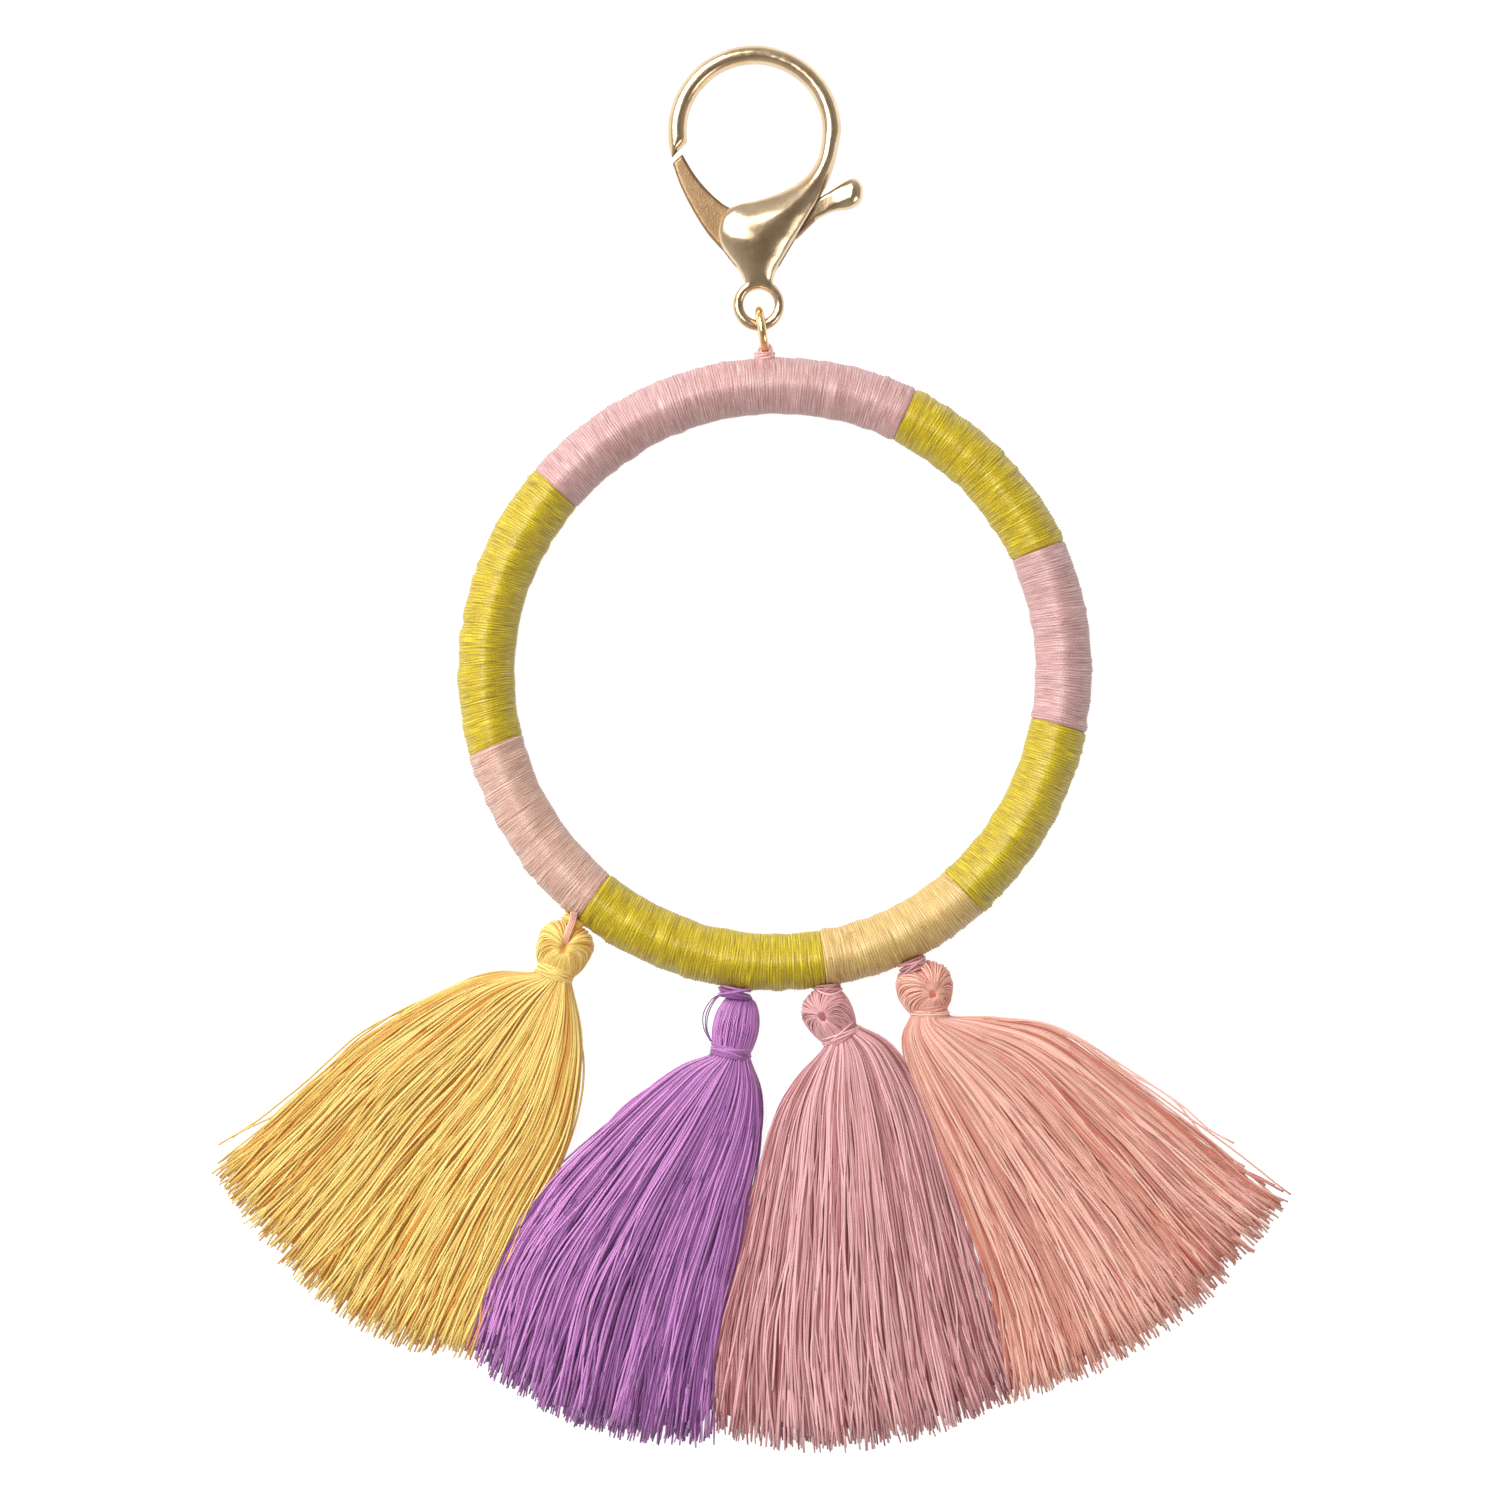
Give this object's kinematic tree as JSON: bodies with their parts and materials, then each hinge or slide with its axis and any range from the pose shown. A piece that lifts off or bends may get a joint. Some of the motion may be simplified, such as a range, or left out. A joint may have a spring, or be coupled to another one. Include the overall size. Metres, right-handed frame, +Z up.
{
  "type": "wristlet keychain",
  "caption": "Thread-wrapped bangle with a sprung lobster clasp on a jump ring at the top and a fan of thread tassels hung from its lower edge.",
  "frame": {"origin": "centre of the keychain's bounding box, on the surface that it lies on", "axes": "+Y from the tassels towards the clasp, +X to the right seen from above with the clasp at the top, +Z up from the surface"},
  "size_m": [0.1473, 0.1909, 0.0076],
  "materials": {
    "gold": "polished light gold plating",
    "steel": "bright steel",
    "core": "plain turned wood, hidden under the thread",
    "pink_thread": "satin cotton thread",
    "green_thread": "satin cotton thread",
    "peach_thread": "satin cotton thread",
    "sand_thread": "satin cotton thread",
    "mauve_thread": "satin cotton thread",
    "yellow_thread": "loose cotton thread",
    "purple_thread": "loose cotton thread",
    "rose_thread": "loose cotton thread",
    "coral_thread": "loose cotton thread"
  },
  "bodies": {
    "bangle": {"bangle_core": "core", "wrap_green_top_right": "green_thread", "wrap_pink_top": "pink_thread", "wrap_green_left": "green_thread", "wrap_peach_left": "peach_thread", "wrap_green_bottom": "green_thread", "wrap_sand_bottom": "sand_thread", "wrap_green_lower_right": "green_thread", "wrap_pink_right": "pink_thread", "thread_loop": "pink_thread"},
    "ring": {"jump_ring": "gold"},
    "clasp": {"clasp_body": "gold", "pivot_pin": "steel", "gate_spring": "steel"},
    "gate": {"gate_lever": "gold"},
    "tassel_yellow": {"tassel_yellow_strands": "yellow_thread", "tassel_yellow_hanger": "yellow_thread", "tassel_yellow_neck_band": "yellow_thread"},
    "tassel_purple": {"tassel_purple_strands": "purple_thread", "tassel_purple_hanger": "purple_thread", "tassel_purple_neck_band": "purple_thread"},
    "tassel_rose": {"tassel_rose_strands": "rose_thread", "tassel_rose_hanger": "mauve_thread", "tassel_rose_neck_band": "rose_thread"},
    "tassel_coral": {"tassel_coral_strands": "coral_thread", "tassel_coral_hanger": "mauve_thread", "tassel_coral_neck_band": "coral_thread"}
  },
  "joints": [
    {"name": "ring_swing", "type": "hinge", "parent": "bangle", "child": "ring", "pos_m": [0.0023, 0.05395, 0.0034], "axis": [0, 0, 1], "range_deg": [-35, 35]},
    {"name": "clasp_fold", "type": "hinge", "parent": "ring", "child": "clasp", "pos_m": [0.0014, 0.05741, 0.0032], "axis": [1, 0, 0], "range_deg": [0, 120]},
    {"name": "gate_open", "type": "hinge", "parent": "clasp", "child": "gate", "pos_m": [0.0012, 0.07, 0.0032], "axis": [0, 0, -1], "range_deg": [0, 24], "stiffness_Nm_per_rad": 0.03, "springref_deg": -17.19},
    {"name": "tassel_yellow_lift", "type": "hinge", "parent": "bangle", "child": "tassel_yellow", "pos_m": [-0.02098, -0.01993, 0.0038], "axis": [-0.7771, 0.6293, 0], "range_deg": [0, 65]},
    {"name": "tassel_purple_lift", "type": "hinge", "parent": "bangle", "child": "tassel_purple", "pos_m": [-0.00111, -0.02833, 0.0038], "axis": [-0.993, 0.1184, 0], "range_deg": [0, 35]},
    {"name": "tassel_rose_lift", "type": "hinge", "parent": "bangle", "child": "tassel_rose", "pos_m": [0.00932, -0.02816, 0.0038], "axis": [-0.9888, -0.1495, 0], "range_deg": [0, 65]},
    {"name": "tassel_coral_lift", "type": "hinge", "parent": "bangle", "child": "tassel_coral", "pos_m": [0.02037, -0.02475, 0.0038], "axis": [-0.9011, -0.4337, 0], "range_deg": [0, 35]}
  ]
}
